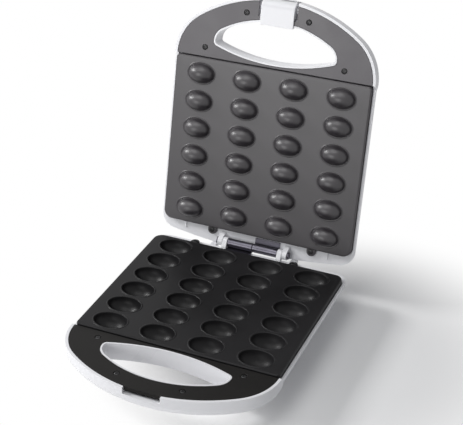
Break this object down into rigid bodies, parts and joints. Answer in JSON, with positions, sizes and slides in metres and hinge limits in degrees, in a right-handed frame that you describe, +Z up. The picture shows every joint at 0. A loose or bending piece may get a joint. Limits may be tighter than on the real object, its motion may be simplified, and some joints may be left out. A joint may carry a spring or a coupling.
{
  "type": "electric nut cookie maker",
  "caption": "Countertop nut cookie maker with a hinged lid: oval cavities in the lower plate, matching bumps in the upper plate, ring handles and a front latch.",
  "frame": {"origin": "centre of the opened object's box, on the surface that its feet stand on", "axes": "+Z up, +Y from the handles towards the hinge, +X to the right of someone who faces the hinge from the handle side"},
  "size_m": [0.235, 0.3708, 0.3192],
  "materials": {
    "white_shell": "smooth gloss white moulded plastic",
    "black_cover": "gloss black moulded plastic",
    "black_screw": "blackened steel screw",
    "plate_coating": "dark satin non-stick coating on cast aluminium",
    "heater_sheath": "dull oxidised steel sheath",
    "steel": "plain bright steel",
    "ceramic": "unglazed white ceramic",
    "reflector": "plain rolled sheet",
    "rubber": "matt black rubber",
    "red_lens": "clear red plastic",
    "green_lens": "clear green plastic",
    "lamp_glass": "clear glass lamp",
    "board": "plain brown board"
  },
  "bodies": {
    "base": {"lower_housing": "white_shell", "lower_handle_cover": "black_cover", "lower_cover_screws": "black_screw", "lower_plate": "plate_coating", "lower_plate_screws": "black_screw", "lower_heater": "heater_sheath", "lower_heater_terminals": "ceramic", "lower_heater_clips": "steel", "lower_heater_screws": "steel", "lower_reflector": "reflector", "thermostat": "ceramic", "thermal_fuse": "steel", "terminal_block": "ceramic", "cord_gland": "rubber", "rubber_feet": "rubber", "lower_hinge_leaf": "steel", "hinge_pin": "steel"},
    "lid": {"upper_housing": "white_shell", "upper_handle_cover": "black_cover", "upper_cover_screws": "black_screw", "upper_plate": "plate_coating", "upper_plate_screws": "black_screw", "upper_heater": "heater_sheath", "upper_heater_terminals": "ceramic", "upper_heater_clips": "steel", "upper_heater_screws": "steel", "upper_reflector": "reflector", "power_lamp_lens": "red_lens", "ready_lamp_lens": "green_lens", "indicator_lamps": "lamp_glass", "lamp_board": "board", "upper_hinge_leaf": "steel", "latch_pin": "steel"},
    "latch": {"latch": "white_shell"}
  },
  "joints": [
    {"name": "lid_hinge", "type": "hinge", "parent": "base", "child": "lid", "pos_m": [0, 0.099, 0.045], "axis": [1, 0, 0], "range_deg": [0, 103.4]},
    {"name": "latch_pivot", "type": "hinge", "parent": "lid", "child": "latch", "pos_m": [0, 0.17151, 0.30837], "axis": [1, 0, 0], "range_deg": [-90, 0]}
  ]
}
